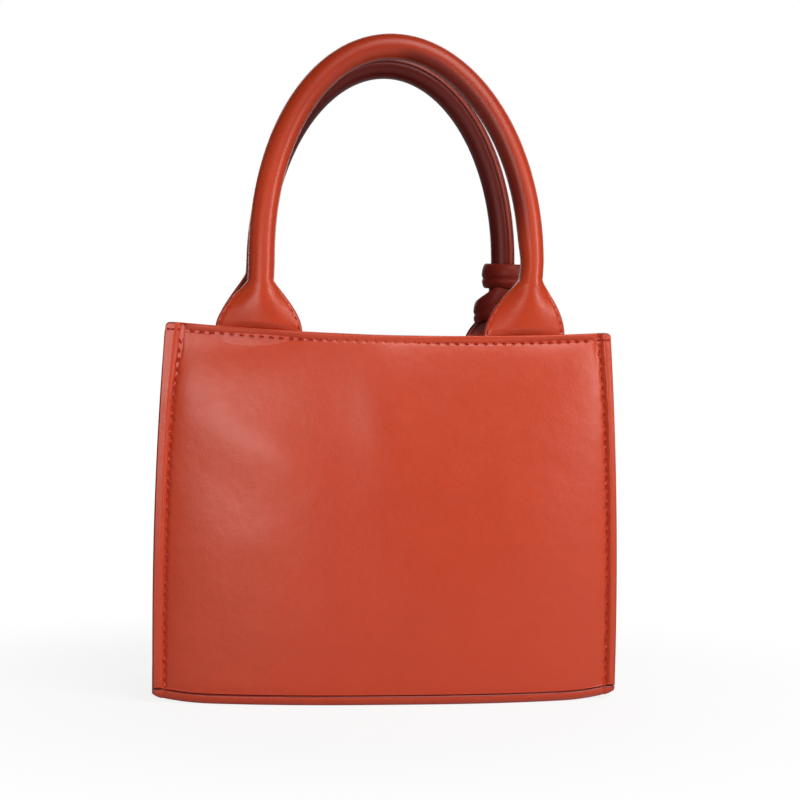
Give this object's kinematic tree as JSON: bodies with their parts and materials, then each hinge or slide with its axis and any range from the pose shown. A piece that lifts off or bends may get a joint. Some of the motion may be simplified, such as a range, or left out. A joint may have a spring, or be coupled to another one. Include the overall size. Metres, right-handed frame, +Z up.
{
  "type": "tote bag",
  "caption": "Small structured leather tote bag with rolled top handles on flared tabs, raised side seams and a strap wound round one handle leg.",
  "frame": {"origin": "on the floor under the middle of the base", "axes": "+Z up through the open top, -Y out of the front panel, +X to the right seen from the front"},
  "size_m": [0.2162, 0.1054, 0.3032],
  "materials": {
    "body_leather": "smooth dyed calf, satin",
    "facing_leather": "smooth dyed calf, satin",
    "handle_leather": "smooth dyed calf, rolled",
    "strap_leather": "smooth dyed calf, satin",
    "lining": "fine cotton twill",
    "stiffener_board": "pressed fibre board",
    "rim_tape": "woven reinforcing tape",
    "handle_cord": "twisted cotton cord"
  },
  "bodies": {
    "bag_body": {"base_panel": "body_leather", "base_board": "stiffener_board", "base_lining": "lining", "front_panel": "body_leather", "rear_panel": "body_leather", "left_gusset": "body_leather", "right_gusset": "body_leather", "front_facing": "facing_leather", "rear_facing": "facing_leather", "left_facing": "facing_leather", "right_facing": "facing_leather", "front_lining": "lining", "rear_lining": "lining", "left_lining": "lining", "right_lining": "lining", "front_left_rim_tape": "rim_tape", "front_middle_rim_tape": "rim_tape", "front_right_rim_tape": "rim_tape", "rear_left_rim_tape": "rim_tape", "rear_middle_rim_tape": "rim_tape", "rear_right_rim_tape": "rim_tape", "front_left_tab_root": "facing_leather", "front_right_tab_root": "facing_leather", "rear_left_tab_root": "facing_leather", "rear_right_tab_root": "facing_leather"},
    "front_handle": {"front_handle_cover": "handle_leather", "front_handle_core": "handle_cord", "front_left_tab_stiffener": "stiffener_board", "front_right_tab_stiffener": "stiffener_board"},
    "rear_handle": {"rear_handle_cover": "handle_leather", "rear_handle_core": "handle_cord", "rear_left_tab_stiffener": "stiffener_board", "rear_right_tab_stiffener": "stiffener_board", "knot_strap": "strap_leather"}
  },
  "joints": [
    {"name": "front_handle_fold", "type": "hinge", "parent": "bag_body", "child": "front_handle", "pos_m": [0, -0.0348, 0.17039], "axis": [1, 0, 0], "range_deg": [-7, 98]},
    {"name": "rear_handle_fold", "type": "hinge", "parent": "bag_body", "child": "rear_handle", "pos_m": [0, 0.0348, 0.17039], "axis": [-1, 0, 0], "range_deg": [-7, 80]}
  ]
}
